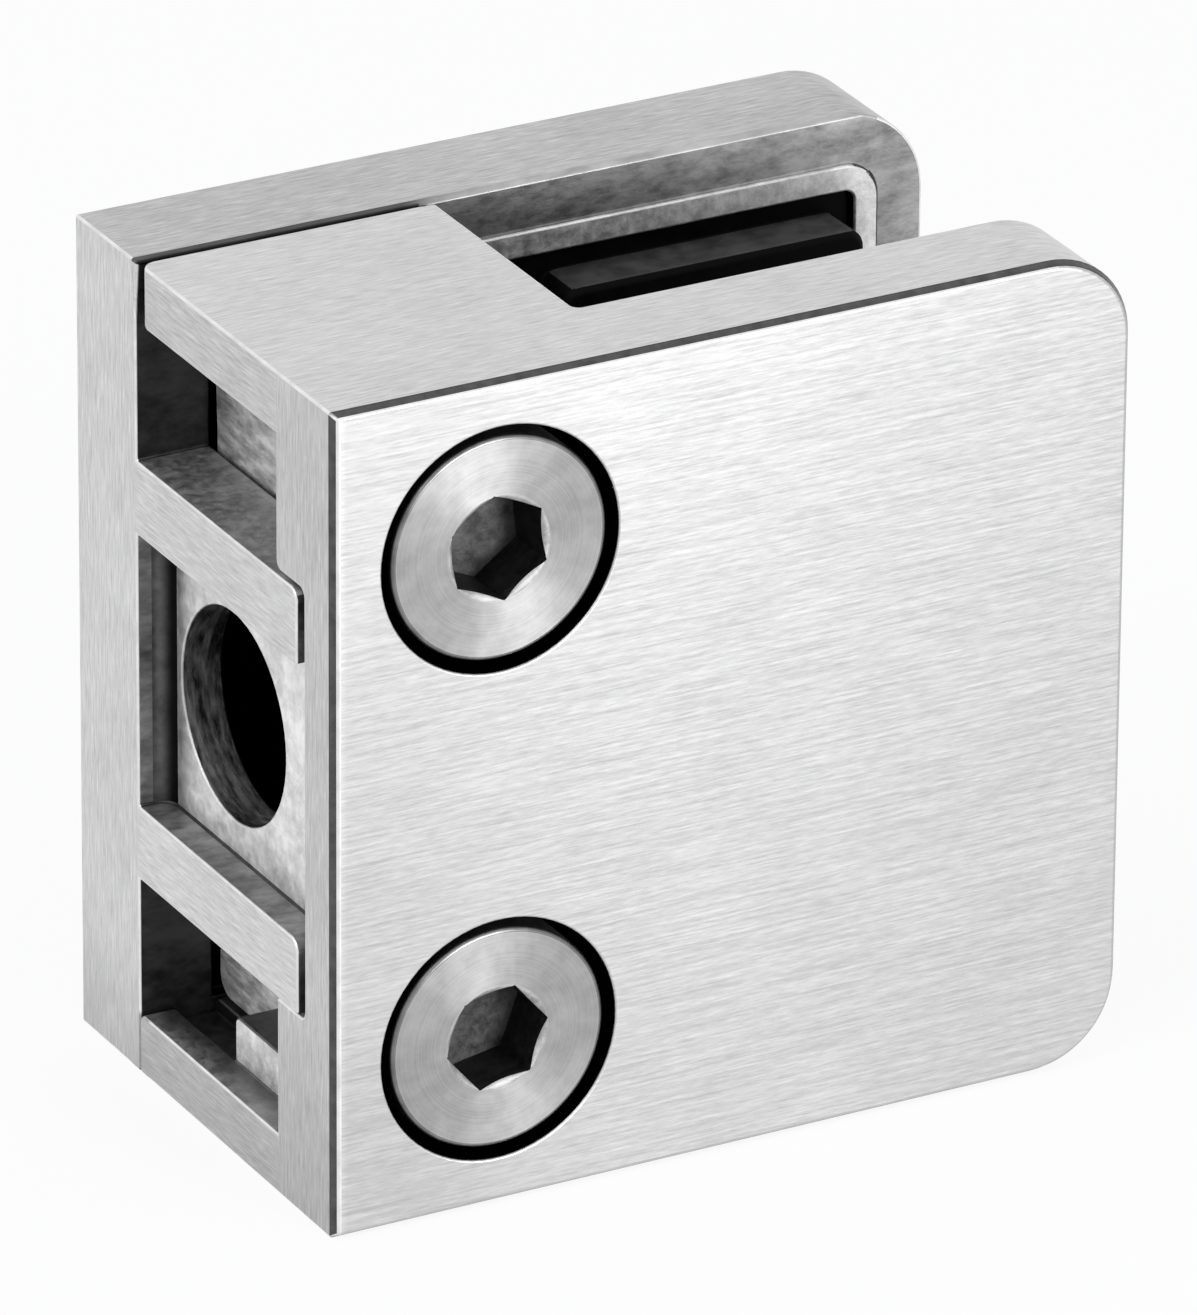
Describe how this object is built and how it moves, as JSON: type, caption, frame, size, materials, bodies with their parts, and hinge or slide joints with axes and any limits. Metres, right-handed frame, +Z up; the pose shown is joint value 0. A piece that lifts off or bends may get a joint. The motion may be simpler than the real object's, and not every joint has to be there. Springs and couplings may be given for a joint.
{
  "type": "glass panel clamp",
  "caption": "Square two-part clamp that bolts to a flat post and grips a glass pane between rubber-lined plates.",
  "frame": {"origin": "on the flat post face, on the axis of the fixing hole", "axes": "+X from the post to the pane, +Y from the cover with the screws to the plain base plate, +Z up"},
  "size_m": [0.045, 0.028, 0.045],
  "materials": {
    "base_steel": "linear brushed outside, as cast inside",
    "cover_steel": "linear brushed outside, as cast inside",
    "screw_steel": "turned face with fine rings",
    "gasket_rubber": "matt black"
  },
  "bodies": {
    "base": {"rear_shell": "base_steel", "rear_gasket": "gasket_rubber"},
    "cover": {"front_shell": "cover_steel", "front_gasket": "gasket_rubber"},
    "upper_screw": {"screw_upper": "screw_steel"},
    "lower_screw": {"screw_lower": "screw_steel"}
  },
  "joints": [
    {"name": "cover_slide", "type": "slide", "parent": "base", "child": "cover", "axis": [0, -1, 0], "range_m": [0, 0.0045]},
    {"name": "upper_screw_turn", "type": "hinge", "parent": "cover", "child": "upper_screw", "pos_m": [0.0093, 0, 0.0134], "axis": [0, -1, 0], "range_deg": [0, 1620]},
    {"name": "lower_screw_turn", "type": "hinge", "parent": "cover", "child": "lower_screw", "pos_m": [0.0093, 0, -0.0134], "axis": [0, -1, 0], "range_deg": [0, 1620]}
  ],
  "couplings": [
    {"joint": "upper_screw_turn", "follows": "cover_slide", "rad_per_m": 6283.2},
    {"joint": "lower_screw_turn", "follows": "cover_slide", "rad_per_m": 6283.2}
  ]
}
